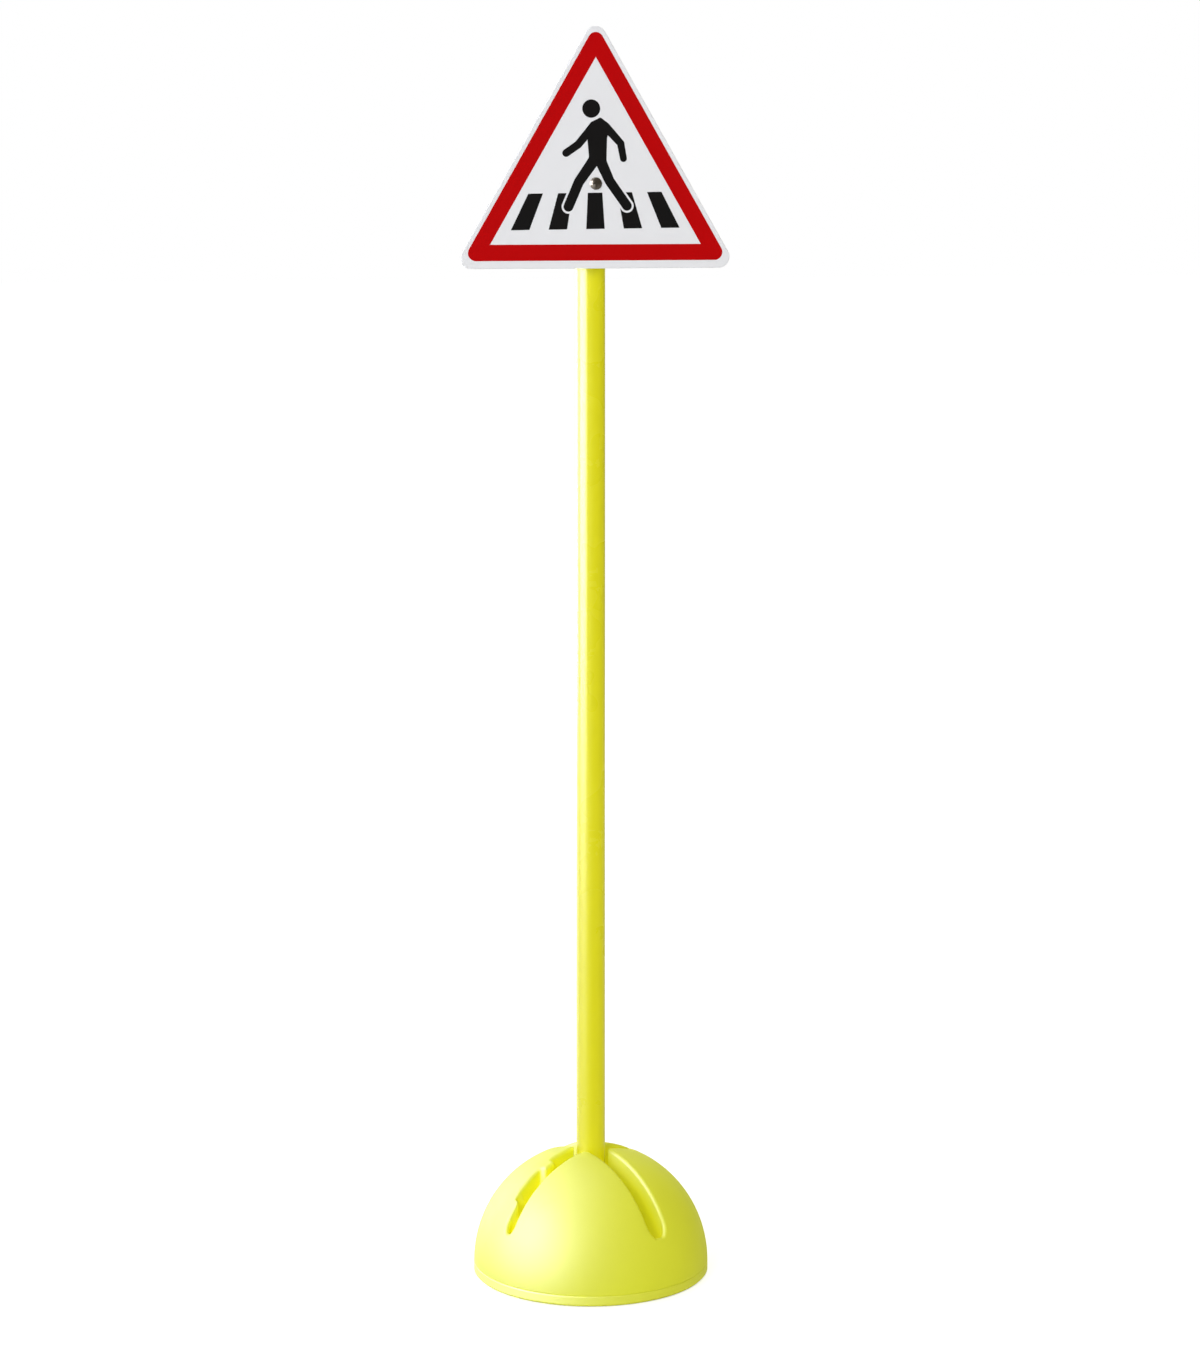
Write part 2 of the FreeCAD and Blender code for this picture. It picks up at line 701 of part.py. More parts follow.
def sign_plate():
    body = new_body("sign_plate")
    outline = new_sketch(body, "plan", "XZ_Plane", "face_distance-plate_thickness", plate_height)
    triangle(outline, "plate_side")
    pad(body, "plate", outline, "plate_thickness")
    dress(body, "corners", "Fillet", edges_where(body, runs_back), "Radius", "plate_corner_radius")
    face = -number("face_distance")
    edges = edges_where(body, lambda edge: in_face(edge, face))
    dress(body, "front_edge", "Chamfer", edges, "Size", "plate_edge_chamfer")
    outline = new_sketch(body, "hole_plan", "XZ_Plane", "face_distance", screw_height)
    disc(outline, "0", "0", "sign_screw_radius+sign_hole_clearance")
    pocket(body, "hole", outline, "plate_thickness")
    return body


def red_border_print():
    body = new_body("red_border_print")
    outline = new_sketch(body, "outer_plan", "XZ_Plane", "face_distance", print_height)
    triangle(outline, border_outer)
    pad(body, "print", outline, "print_thickness")
    dress(body, "corners", "Fillet", edges_where(body, runs_back), "Radius", "border_corner_radius")
    outline = new_sketch(body, "inner_plan", "XZ_Plane", "face_distance", print_height)
    triangle(outline, border_inner)
    pocket(body, "field", outline, "print_thickness", True)
    return body


def walker_print():
    body = new_body("walker_print")
    for index, (one, other) in enumerate(walker_limbs):
        outline = new_sketch(body, "limb_plan_%d" % index, "XZ_Plane", "face_distance", print_height)
        capsule(outline, one, other)
        pad(body, "limb_%d" % index, outline, "print_thickness")
    outline = new_sketch(body, "trunk_plan", "XZ_Plane", "face_distance", print_height)
    loop(outline, [("walker_%s_side" % joint, "walker_%s_rise" % joint) for joint in walker_trunk])
    pad(body, "trunk", outline, "print_thickness")
    outline = new_sketch(body, "head_plan", "XZ_Plane", "face_distance", print_height)
    disc(outline, "walker_head_side", "walker_head_rise", "walker_head_half")
    pad(body, "head", outline, "print_thickness")
    return body


def stripes_print():
    body = new_body("stripes_print")
    outline = new_sketch(body, "plan", "XZ_Plane", "face_distance", print_height, "stripe_angle")
    for offset in stripe_offsets:
        far = "stripe_shift+%d*stripe_far_pitch" % offset
        near = "stripe_shift+%d*stripe_near_pitch" % offset
        loop(outline, [(near + "-stripe_near_width/2", "stripe_near_rise"),
                       (near + "+stripe_near_width/2", "stripe_near_rise"),
                       (far + "+stripe_far_width/2", "stripe_far_rise"),
                       (far + "-stripe_far_width/2", "stripe_far_rise")])
    pad(body, "print", outline, "print_thickness")
    for index, (one, other) in enumerate(walker_legs):
        outline = new_sketch(body, "leg_plan_%d" % index, "XZ_Plane", "face_distance", print_height)
        capsule(outline, one, other, "walker_halo")
        pocket(body, "leg_%d" % index, outline, "print_thickness", True)
    return body


def pole_clip():
    body = new_body("pole_clip")
    foot = screw_height + "-clip_tall/2"
    bore = "(pole_radius+clip_clearance)"
    back = "face_distance-plate_thickness-flange_thickness"
    outline = new_sketch(body, "flange_plan", "XZ_Plane", back, screw_height)
    rectangle(outline, "-flange_width/2", "-flange_tall/2", "flange_width/2", "flange_tall/2")
    pad(body, "flange", outline, "flange_thickness")
    edges = edges_where(body, runs_back)
    dress(body, "flange_corners", "Fillet", edges, "Radius", "flange_corner_radius")
    outline = new_sketch(body, "block_plan", "XY_Plane", foot)
    rectangle(outline, "-pad_width/2", "-(" + back + ")", "pad_width/2", "0")
    pad(body, "block", outline, "clip_tall")
    outline = new_sketch(body, "jaw_plan", "XY_Plane", foot)
    disc(outline, "0", "0", bore + "+clip_wall")
    pad(body, "jaw", outline, "clip_tall")
    outline = new_sketch(body, "bore_plan", "XY_Plane", foot)
    disc(outline, "0", "0", bore)
    pocket(body, "bore", outline, "clip_tall", True)
    outline = new_sketch(body, "mouth_plan", "XY_Plane", foot)
    far = "2*pole_radius"
    half = "tan(clip_mouth_angle/2)*" + far
    loop(outline, [("0", "0"), (half, far), ("-" + half, far)])
    pocket(body, "mouth", outline, "clip_tall", True)
    height = number(foot)

    def lip(edge):
        box = edge.BoundBox
        return box.XLength < 1e-4 and box.YLength < 1e-4 and box.YMin > 1 and box.ZMin > height - 1

    dress(body, "lips", "Fillet", edges_where(body, lip), "Radius", "clip_lip_radius")
    outline = new_sketch(body, "nut_plan", "XZ_Plane", nut_seat, screw_height)
    hexagon(outline, "nut_across_flats+2*nut_clearance")
    pocket(body, "nut_pocket", outline, nut_seat)
    outline = new_sketch(body, "hole_plan", "XZ_Plane", "face_distance", screw_height)
    disc(outline, "0", "0", "sign_screw_radius+sign_hole_clearance")
    pocket(body, "hole", outline, "face_distance-pole_radius")
    return body


def lock_nut():
    body = new_body("lock_nut")
    outline = new_sketch(body, "plan", "XZ_Plane", nut_seat + "-nut_thickness", screw_height)
    hexagon(outline, "nut_across_flats")
    pad(body, "nut", outline, "nut_thickness")
    outline = new_sketch(body, "hole_plan", "XZ_Plane", nut_seat, screw_height)
    disc(outline, "0", "0", "sign_screw_radius+thread_clearance")
    pocket(body, "hole", outline, "nut_thickness")
    return body


def sign_screw():
    body = new_body("sign_screw")
    section = new_sketch(body, "section", "XY_Plane", screw_height)
    face = "-face_distance"
    rim = face + "-sign_screw_head_rim"
    dome = "(sign_screw_head_height-sign_screw_head_rim)"
    ball = "((sign_screw_head_radius^2+" + dome + "^2)/(2*" + dome + "))"
    middle = face + "-sign_screw_head_height+" + ball
    end = "-(pole_radius+sign_screw_end_gap)"
    lean = math.degrees(math.asin(number("sign_screw_head_radius/" + ball)))
    top = arc(section, "0", middle, ball, -90, lean - 90)
    corners = [("sign_screw_head_radius", rim), ("sign_screw_head_radius", face),
               ("sign_screw_radius", face), ("sign_screw_radius", end), ("0", end),
               ("0", face + "-sign_screw_head_height")]
    sides = [line(section, *pair) for pair in zip(corners, corners[1:])]
    for side, corner in zip(sides[:-1], corners[1:-1]):
        pin(section, side, 2, *corner)
    pin(section, sides[0], 1, "sign_screw_head_radius")
    pin(section, sides[-1], 2, "0")
    for side, after in zip(sides, sides[1:]):
        join(section, side, 2, after, 1)
    join(section, sides[-1], 2, top, 1)
    join(section, top, 2, sides[0], 1)
    turned(body, "turning", section)
    outline = new_sketch(body, "cross_plan", "XZ_Plane", "face_distance+sign_screw_head_height", screw_height)
    cross(outline, "0", "0", "cross_length", "cross_width")
    pocket(body, "cross", outline, "cross_depth")
    return body


bodies = [
    dome_shell(),
    bottom_cover(),
    ballast(),
    cover_screws(),
    rubber_feet(),
    pole(),
    pole_cap("pole_bottom_cap", "socket_floor_height", True),
    pole_cap("pole_top_cap", "socket_floor_height+pole_length", False),
    sign_plate(),
    red_border_print(),
    walker_print(),
    stripes_print(),
    pole_clip(),
    lock_nut(),
    sign_screw(),
]
doc.recompute()

for item in doc.Objects:
    if "Invalid" in item.State or "Error" in item.State:
        raise RuntimeError(item.Name + " has an error")
for body in bodies:
    if body.Shape.isNull() or not body.Shape.isValid():
        raise RuntimeError(body.Label + " has no valid shape")

os.makedirs("parts", exist_ok=True)
for body in bodies:
    body.Shape.exportStep("parts/" + body.Label + ".step")
    box = body.Shape.BoundBox
    print("%-18s %2d solid(s) %10.1f mm3, z %.2f to %.2f" % (
        body.Label, len(body.Shape.Solids), body.Shape.Volume, box.ZMin, box.ZMax))
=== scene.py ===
import math

import bmesh
import bpy
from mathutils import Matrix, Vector


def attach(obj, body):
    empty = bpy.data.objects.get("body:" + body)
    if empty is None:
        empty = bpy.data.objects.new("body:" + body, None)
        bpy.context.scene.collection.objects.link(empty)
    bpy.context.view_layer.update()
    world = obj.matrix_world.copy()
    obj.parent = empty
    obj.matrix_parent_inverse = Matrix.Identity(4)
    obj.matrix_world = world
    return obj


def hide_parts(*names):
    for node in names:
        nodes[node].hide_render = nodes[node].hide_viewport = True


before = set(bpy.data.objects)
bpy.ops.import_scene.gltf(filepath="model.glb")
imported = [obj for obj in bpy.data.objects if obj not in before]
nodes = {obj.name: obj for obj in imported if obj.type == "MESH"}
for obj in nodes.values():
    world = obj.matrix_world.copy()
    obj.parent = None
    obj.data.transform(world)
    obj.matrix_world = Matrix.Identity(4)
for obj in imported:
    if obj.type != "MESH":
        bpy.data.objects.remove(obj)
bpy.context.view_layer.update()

print("stage 1: packed model loaded,", len(nodes), "nodes")


# The camera is fitted to the pole, the foot and the printed triangle.
cameraValues = {
    "place": (-0.4132, -2.9002, 0.998),
    "heading": (0.1438, 0.98966),
    "pitchDown": 9.21,
    "lens": 90.35,
    "sensorHeight": 36.0,
    "clipEnd": 60.0,
}


def makeCamera():
    data = bpy.data.cameras.new("signCamera")
    data.sensor_fit = "VERTICAL"
    data.sensor_height = cameraValues["sensorHeight"]
    data.lens = cameraValues["lens"]
    data.clip_end = cameraValues["clipEnd"]
    camera = bpy.data.objects.new("signCamera", data)
    bpy.context.scene.collection.objects.link(camera)
    across, along = cameraValues["heading"]
    pitch = math.radians(cameraValues["pitchDown"])
    look = Vector((across * math.cos(pitch), along * math.cos(pitch), -math.sin(pitch)))
    camera.rotation_euler = look.to_track_quat("-Z", "Y").to_euler()
    camera.location = cameraValues["place"]
    bpy.context.scene.camera = camera


makeCamera()
print("stage 2: camera set")


# The slots' rims are rolled over to the dome, round their ends as well. The CAD model has narrower bevels
# there, so the shell is replaced by the same shell with its rims cut round.
rimValues = {
    "turn": 31.7,             # degrees, of the first grip slot; the four slots lie a quarter turn apart
    "ballRadius": 0.1033,
    "ballMiddle": 0.0092,     # height
    "reach": 0.08895,         # from the middle to a slot's end, in plan
    "rimRadius": 0.0032,
    "leastRadius": 0.0006,    # at a recess's outer end, where the round fades out
    "fadeParts": 3,           # the round changes over the last of so many parts of a run
    "arcSteps": 14,
    "sideSteps": 36,
    "cornerSteps": 6,
    "overhang": 0.001,        # how far a cutter stands into the slot
    "clear": 0.003,           # and how far over the dome
    "weldReach": 1e-7,
    # half width and corner radius, of the board slots and of the grip slots
    "board": (0.00866, 0.0055),
    "grip": (0.00396, 0.0022),
    # the grip slots' recesses: inner end, outer start and outer end along the slot, side and corners
    "recessEnds": (0.03606, 0.04824, 0.07696),
    "recessSide": 0.01036,
    "recessCorner": 0.0026,
    "stepCorner": 0.0032,
    # shading: edges sharper than this angle stay crisp, and faces on the ball take its own normals
    "smoothAngle": 30.0,
    "ballNear": 0.00006,
    "ballFacing": 0.985,
}


# Points of a slot's outline in plan: the place, the way into the wall there and the radius of the round.
# A hollow corner turns round the slot, a full one round the wall.
def turnCorner(middle, radius, first, last, roll, hollow=True):
    points = []
    reach = radius if hollow else -radius
    for step in range(rimValues["cornerSteps"] + 1):
        angle = math.radians(first + (last - first) * step / rimValues["cornerSteps"])
        over, up = math.cos(angle), math.sin(angle)
        points.append((middle[0] + reach * over, middle[1] + reach * up, over, up, roll))
    return points


# A straight run along a slot's side, with its points closer together towards its end.
def goAlong(first, last, aside, steps, rolls):
    points = []
    parts = rimValues["fadeParts"]
    for step in range(steps):
        share = math.sin(math.pi / 2 * step / steps)
        roll = rolls[0] + (rolls[1] - rolls[0]) * max(0.0, share * parts - (parts - 1))
        points.append((first + (last - first) * share, aside, 0.0, 1.0, roll))
    return points


# One side of a slot, from the dome's middle out to the middle of the slot's end.
def slotSide(halfWidth, corner, recessed):
    straight = rimValues["reach"] - corner
    steps = rimValues["sideSteps"]
    roll, least = rimValues["rimRadius"], rimValues["leastRadius"]
    if recessed:
        deep, hollow, full = rimValues["recessSide"], rimValues["recessCorner"], rimValues["stepCorner"]
        innerEnd, outerStart, outerEnd = rimValues["recessEnds"]
        side = goAlong(0.0, innerEnd - hollow, deep, steps // 2, (roll, roll))
        side += turnCorner((innerEnd - hollow, deep - hollow), hollow, 90, 0, roll)
        side += turnCorner((innerEnd + full, halfWidth + full), full, 0, 90, roll, False)
        side += turnCorner((outerStart - full, halfWidth + full), full, 90, 180, roll, False)
        side += turnCorner((outerStart + hollow, deep - hollow), hollow, 180, 90, roll)
        side += goAlong(outerStart + hollow, outerEnd - hollow, deep, steps // 2, (roll, least))[1:]
        side += turnCorner((outerEnd - hollow, deep - hollow), hollow, 90, 0, least)
        side += turnCorner((outerEnd + full, halfWidth + full), full, 0, 90, least, False)
        side += goAlong(outerEnd + full, straight, halfWidth, steps // 3, (least, roll))[1:]
    else:
        side = goAlong(0.0, straight, halfWidth, steps, (roll, roll))
    return side + turnCorner((straight, halfWidth - corner), corner, 90, 0, roll)


# The two sides of one slot as one line. Only one side of a grip slot has recesses.
def slotOutline(halfWidth, corner, recessed):
    there = slotSide(halfWidth, corner, False)
    back = reversed(slotSide(halfWidth, corner, recessed))
    return there + [(out, -aside, over, -up, roll) for out, aside, over, up, roll in back]


# The cut's section at one place: a ball rolled between the wall and the dome leaves the round.
def rimSection(place, wallward, radius):
    ball = rimValues["ballRadius"]
    spot = place + wallward * radius
    spot.z = math.sqrt((ball - radius) ** 2 - spot.x ** 2 - spot.y ** 2)
    outward = spot.normalized()
    wide = outward.angle(-wallward)
    section = [spot - wallward * (radius + rimValues["overhang"])]
    for step in range(rimValues["arcSteps"] + 1):
        share = step / rimValues["arcSteps"]
        way = outward * math.sin(share * wide) - wallward * math.sin((1 - share) * wide)
        section.append(spot + way * (radius / math.sin(wide)))
    along = (outward * math.cos(wide) + wallward) / math.sin(wide)
    section.append(section[-1] + along * rimValues["overhang"] * 2)
    section.append(section[-1] + outward * rimValues["clear"])
    over = section[0].copy()
    over.z = math.sqrt(ball ** 2 - over.x ** 2 - over.y ** 2) + rimValues["clear"]
    section.append(over)
    return section


def weldMesh(mesh, turnOutward=False):
    welded = bmesh.new()
    welded.from_mesh(mesh)
    bmesh.ops.remove_doubles(welded, verts=welded.verts, dist=rimValues["weldReach"])
    if turnOutward:
        bmesh.ops.recalc_face_normals(welded, faces=welded.faces)
    welded.to_mesh(mesh)
    welded.free()


def makeRimCutter(halfWidth, corner, turn, recessed):
    across = Vector((math.cos(turn), math.sin(turn), 0))
    along = Vector((-math.sin(turn), math.cos(turn), 0))
    sections = []
    for out, aside, over, up, roll in slotOutline(halfWidth, corner, recessed):
        sections.append(rimSection(across * out + along * aside, across * over + along * up, roll))
    count = len(sections[0])
    lift = Vector((0, 0, rimValues["ballMiddle"]))
    points = [tuple(point + lift) for section in sections for point in section]
    faces = [tuple(range(count)), tuple(range(len(points) - count, len(points)))]
    for row in range(len(sections) - 1):
        for index in range(count):
            here, after = row * count + index, row * count + (index + 1) % count
            faces.append((here, after, after + count, here + count))
    mesh = bpy.data.meshes.new("rimCutter")
    mesh.from_pydata(points, [], faces)
    weldMesh(mesh, turnOutward=True)
    cutter = bpy.data.objects.new("rimCutter", mesh)
    bpy.context.scene.collection.objects.link(cutter)
    return cutter


def cutAway(piece, cutters):
    for cutter in cutters:
        cut = piece.modifiers.new(cutter.name, "BOOLEAN")
        cut.operation = "DIFFERENCE"
        cut.solver = "EXACT"
        cut.object = cutter
    shown = piece.evaluated_get(bpy.context.evaluated_depsgraph_get())
    mesh = bpy.data.meshes.new_from_object(shown)
    piece.modifiers.clear()
    piece.data = mesh
    for cutter in cutters:
        bpy.data.objects.remove(cutter)
    return mesh


# The dome's own normals, so that its long facets shade as a ball.
def roundNormals(mesh):
    mesh.shade_smooth()
    mesh.set_sharp_from_angle(angle=math.radians(rimValues["smoothAngle"]))
    middle = Vector((0, 0, rimValues["ballMiddle"]))
    normals = [(0.0, 0.0, 0.0)] * len(mesh.loops)    # all zeros keeps a corner's usual normal
    for face in mesh.polygons:
        for corner in face.loop_indices:
            away = mesh.vertices[mesh.loops[corner].vertex_index].co - middle
            onBall = abs(away.length - rimValues["ballRadius"]) < rimValues["ballNear"]
            away.normalize()
            if onBall and away.dot(face.normal) > rimValues["ballFacing"]:
                normals[corner] = tuple(away)
    mesh.normals_split_custom_set(normals)


def makeFootShell():
    source = nodes["dome_shell"].data.copy()
    weldMesh(source)
    piece = bpy.data.objects.new("footShell", source)
    bpy.context.scene.collection.objects.link(piece)
    turn = math.radians(rimValues["turn"])
    cutters = []
    for quarter in range(4):
        grip = quarter % 2 == 0
        halfWidth, corner = rimValues["grip" if grip else "board"]
        cutters.append(makeRimCutter(halfWidth, corner, turn + quarter * math.pi / 2, grip))
    roundNormals(cutAway(piece, cutters))
    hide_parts("dome_shell")
    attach(piece, "root")
    return piece


footShell = makeFootShell()
print("stage 3: foot shell with", len(footShell.data.polygons), "faces")


def startMaterial(name):
    material = bpy.data.materials.new(name)
    material.use_nodes = True
    tree = material.node_tree
    return material, tree, tree.nodes["Principled BSDF"]


def addNode(tree, kind, place, **inputs):
    node = tree.nodes.new(kind)
    node.location = place
    for name, value in inputs.items():
        node.inputs[name].default_value = value
    return node


def link(tree, source, target):
    tree.links.new(source, target)


# Each source is another node's output or a plain number.
def addMath(tree, operation, place, *sources, clamped=False):
    node = addNode(tree, "ShaderNodeMath", place)
    node.operation = operation
    node.use_clamp = clamped
    for socket, source in zip(node.inputs, sources):
        if isinstance(source, bpy.types.NodeSocket):
            link(tree, source, socket)
        else:
            socket.default_value = source
    return node.outputs["Value"]


# A value that runs between the two ends is mapped to the two results, and held beyond them.
def addRange(tree, place, value, ends=(0.0, 1.0), results=(0.0, 1.0)):
    node = addNode(tree, "ShaderNodeMapRange", place)
    node.inputs["From Min"].default_value, node.inputs["From Max"].default_value = ends
    node.inputs["To Min"].default_value, node.inputs["To Max"].default_value = results
    link(tree, value, node.inputs["Value"])
    return node.outputs["Result"]


def mixColours(tree, place, factor, first, second):
    node = addNode(tree, "ShaderNodeMix", place)
    node.data_type = "RGBA"
    node.inputs["A"].default_value = (*first, 1)
    node.inputs["B"].default_value = (*second, 1)
    link(tree, factor, node.inputs["Factor"])
    return node.outputs["Result"]


def newGroup(name, inputs, outputs):
    group = bpy.data.node_groups.new(name, "ShaderNodeTree")
    for socketName, value in inputs.items():
        socket = group.interface.new_socket(socketName, in_out="INPUT", socket_type="NodeSocketFloat")
        socket.default_value = value
    for socketName in outputs:
        group.interface.new_socket(socketName, in_out="OUTPUT", socket_type="NodeSocketFloat")
    start = addNode(group, "NodeGroupInput", (-900, 0))
    end = addNode(group, "NodeGroupOutput", (700, 0))
    return group, start, end


def placeGroup(tree, group, place, values):
    node = addNode(tree, "ShaderNodeGroup", place)
    node.node_tree = group
    for name, value in values.items():
        node.inputs[name].default_value = value
    return node


grainValues = {
    "inputs": {"Grain Scale": 900.0, "Mottle Scale": 22.0},
    "fine": {"Detail": 3.0, "Roughness": 0.55},
    "pits": {"Randomness": 1.0},
    "broad": {"Detail": 2.0, "Roughness": 0.5},
    "pitShare": 0.45,
}


# Fine texture of a blasted mould: a height, and a soft mottle in 0..1.
def makeMouldGrain():
    group, start, end = newGroup("mouldGrain", grainValues["inputs"], ("Height", "Mottle"))
    place = addNode(group, "ShaderNodeTexCoord", (-900, -200))
    fine = addNode(group, "ShaderNodeTexNoise", (-500, 200), **grainValues["fine"])
    pits = addNode(group, "ShaderNodeTexVoronoi", (-500, -40), **grainValues["pits"])
    broad = addNode(group, "ShaderNodeTexNoise", (-500, -340), **grainValues["broad"])
    for texture, scale in ((fine, "Grain Scale"), (pits, "Grain Scale"), (broad, "Mottle Scale")):
        link(group, place.outputs["Object"], texture.inputs["Vector"])
        link(group, start.outputs[scale], texture.inputs["Scale"])
    height = addMath(group, "MULTIPLY_ADD", (-100, 100), pits.outputs["Distance"], grainValues["pitShare"],
                     fine.outputs["Fac"])
    link(group, height, end.inputs["Height"])
    link(group, broad.outputs["Fac"], end.inputs["Mottle"])
    return group


scuffValues = {
    "inputs": {"Scuff Scale": 9.0, "Share": 0.3},
    "turns": (0.4, 1.9),             # the directions of the lines
    "sideTurn": 0.7,
    "stretch": (1.0, 14.0, 4.0),
    "lines": {"Detail": 4.0, "Roughness": 0.7},
    "lineEdges": (0.60, 0.66),       # the noise's levels where a line begins and where it is full
}


# Hairline scuffs in a few directions, as a mask of thin lines.
def makeScuffs():
    group, start, end = newGroup("handlingScuffs", scuffValues["inputs"], ("Mask",))
    place = addNode(group, "ShaderNodeTexCoord", (-900, -200))
    masks = []
    for index, turn in enumerate(scuffValues["turns"]):
        level = 200 - 260 * index
        turned = addNode(group, "ShaderNodeMapping", (-700, level), Scale=scuffValues["stretch"],
                         Rotation=(turn, scuffValues["sideTurn"] * turn, turn))
        link(group, place.outputs["Object"], turned.inputs["Vector"])
        lines = addNode(group, "ShaderNodeTexNoise", (-480, level), **scuffValues["lines"])
        link(group, turned.outputs["Vector"], lines.inputs["Vector"])
        link(group, start.outputs["Scuff Scale"], lines.inputs["Scale"])
        narrow = addNode(group, "ShaderNodeValToRGB", (-260, level))
        for element, edge in zip(narrow.color_ramp.elements, scuffValues["lineEdges"]):
            element.position = edge
        link(group, lines.outputs["Fac"], narrow.inputs["Fac"])
        masks.append(narrow.outputs["Color"])
    both = addMath(group, "MAXIMUM", (60, 60), *masks)
    link(group, addMath(group, "MULTIPLY", (260, 60), both, start.outputs["Share"]), end.inputs["Mask"])
    return group


mouldGrain = makeMouldGrain()
handlingScuffs = makeScuffs()


# Roughness from the mottle, higher on the scuffs, and a bump from the grain.
def texturePlastic(tree, shader, scales, scuffs, roughness, strength, depth):
    grain = placeGroup(tree, mouldGrain, (-1000, 0), scales)
    scuffed = placeGroup(tree, handlingScuffs, (-1000, -300), scuffs)
    worn = addMath(tree, "ADD", (-760, -160), grain.outputs["Mottle"], scuffed.outputs["Mask"], clamped=True)
    link(tree, addRange(tree, (-560, -120), worn, results=roughness), shader.inputs["Roughness"])
    bump = addNode(tree, "ShaderNodeBump", (-340, -320), Strength=strength, Distance=depth)
    link(tree, grain.outputs["Height"], bump.inputs["Height"])
    link(tree, bump.outputs["Normal"], shader.inputs["Normal"])
    return grain.outputs["Mottle"], bump


# Fluorescent yellow plastics: the foot's is paler and greener, the pole's is purer.
# 'open' is each plastic's own colour; 'deep' is a painted tint that stands in for light bounced round in
# slots and corners, and the glow value is painted light there too.
yellowValues = {
    "foot": {"open": (0.86, 0.90, 0.020), "deep": (0.94, 0.89, 0.001), "paintedGlow": 0.11,
             "roughness": (0.54, 0.62), "specular": 0.5},
    "pole": {"open": (0.89, 0.85, 0.005), "deep": (0.95, 0.82, 0.002), "paintedGlow": 0.0,
             "roughness": (0.25, 0.30), "specular": 0.30},
    "coverSpecular": 0.9,
    "closeReach": 0.022,             # how far off a wall makes a place count as deep, where the painted bounce tint and glow take over
    "closeSamples": 8,
    "openEnds": (0.25, 0.85),        # the openness that counts as fully deep and as fully open
    "mottleShade": (0.985, 1.015),
    "grain": {"Grain Scale": 1400.0, "Mottle Scale": 18.0},
    "scuffs": {"Scuff Scale": 7.0, "Share": 0.35},
    "grainStrength": 0.25,
    "grainDepth": 0.00012,
    "edgeRadius": 0.0016,
    "edgeSamples": 6,
}


def makeYellowPlastic(name, tints):
    material, tree, shader = startMaterial(name)
    mottle, bump = texturePlastic(tree, shader, yellowValues["grain"], yellowValues["scuffs"],
                                  tints["roughness"], yellowValues["grainStrength"],
                                  yellowValues["grainDepth"])
    # Painted light and shade: where walls stand close, in the slots and round the pole's socket, the base
    # colour turns to the deeper, more orange tint, standing in for light bounced round inside them.
    close = addNode(tree, "ShaderNodeAmbientOcclusion", (-1000, 400), Distance=yellowValues["closeReach"])
    close.samples = yellowValues["closeSamples"]
    close.only_local = True
    openness = addRange(tree, (-800, 400), close.outputs["AO"], ends=yellowValues["openEnds"])
    tintWithPaintedBounce = mixColours(tree, (-560, 300), openness, tints["deep"], tints["open"])
    shade = addRange(tree, (-560, 80), mottle, results=yellowValues["mottleShade"])
    varied = addNode(tree, "ShaderNodeVectorMath", (-340, 260))
    varied.operation = "SCALE"
    link(tree, tintWithPaintedBounce, varied.inputs["Vector"])
    link(tree, shade, varied.inputs["Scale"])
    link(tree, varied.outputs["Vector"], shader.inputs["Base Color"])
    # Painted light: the slots glow a little with the deep tint, an emission that stands in for light bounced
    # round inside them.
    paintedGlowColour = mixColours(tree, (-560, 560), openness, tints["deep"], (0, 0, 0))
    link(tree, paintedGlowColour, shader.inputs["Emission Color"])
    shader.inputs["Emission Strength"].default_value = tints["paintedGlow"]
    material.cycles.emission_sampling = "NONE"
    edges = addNode(tree, "ShaderNodeBevel", (-560, -420), Radius=yellowValues["edgeRadius"])
    edges.samples = yellowValues["edgeSamples"]
    link(tree, edges.outputs["Normal"], bump.inputs["Normal"])
    shader.inputs["Specular IOR Level"].default_value = tints["specular"]
    return material


# The other finishes: what they share, and then each one's own values, with a mottle between two colours.
plainShared = {
    "mottleScale": 25.0,
    "scuffs": {"Scuff Scale": 9.0, "Share": 0.4},
    "bumpStrength": 0.2,
}
plainFinishes = {
    "whitePlastic": {"colours": ((0.93, 0.945, 0.985), (0.91, 0.925, 0.965)), "roughness": (0.34, 0.44),
                     "grainScale": 1200.0, "bump": 0.00006, "specular": 0.12, "metallic": 0.0},
    "redPrint": {"colours": ((0.57, 0.0006, 0.0015), (0.54, 0.0006, 0.0015)), "roughness": (0.34, 0.42),
                 "grainScale": 1500.0, "bump": 0.00005, "specular": 0.03, "metallic": 0.0},
    "blackPrint": {"colours": ((0.0065, 0.006, 0.006), (0.008, 0.0075, 0.0075)), "roughness": (0.34, 0.42),
                   "grainScale": 1500.0, "bump": 0.00005, "specular": 0.05, "metallic": 0.0},
    "brightZinc": {"colours": ((0.42, 0.38, 0.34), (0.36, 0.33, 0.30)), "roughness": (0.20, 0.30),
                   "grainScale": 2500.0, "bump": 0.00003, "specular": 0.5, "metallic": 1.0},
    # The screw's dark brown is partly its own colour and partly a painted reflection of the dark room in
    # front of its domed head.
    "screwWithPaintedReflection": {"colours": ((0.085, 0.068, 0.048), (0.06, 0.048, 0.035)), "roughness": (0.16, 0.26),
                    "grainScale": 2500.0, "bump": 0.00003, "specular": 0.5, "metallic": 0.25},
    "footRubber": {"colours": ((0.03, 0.03, 0.03), (0.02, 0.02, 0.02)), "roughness": (0.7, 0.85),
                   "grainScale": 1500.0, "bump": 0.0002, "specular": 0.5, "metallic": 0.0},
    "castFilling": {"colours": ((0.40, 0.39, 0.37), (0.30, 0.29, 0.28)), "roughness": (0.8, 0.95),
                    "grainScale": 400.0, "bump": 0.0006, "specular": 0.5, "metallic": 0.0},
}


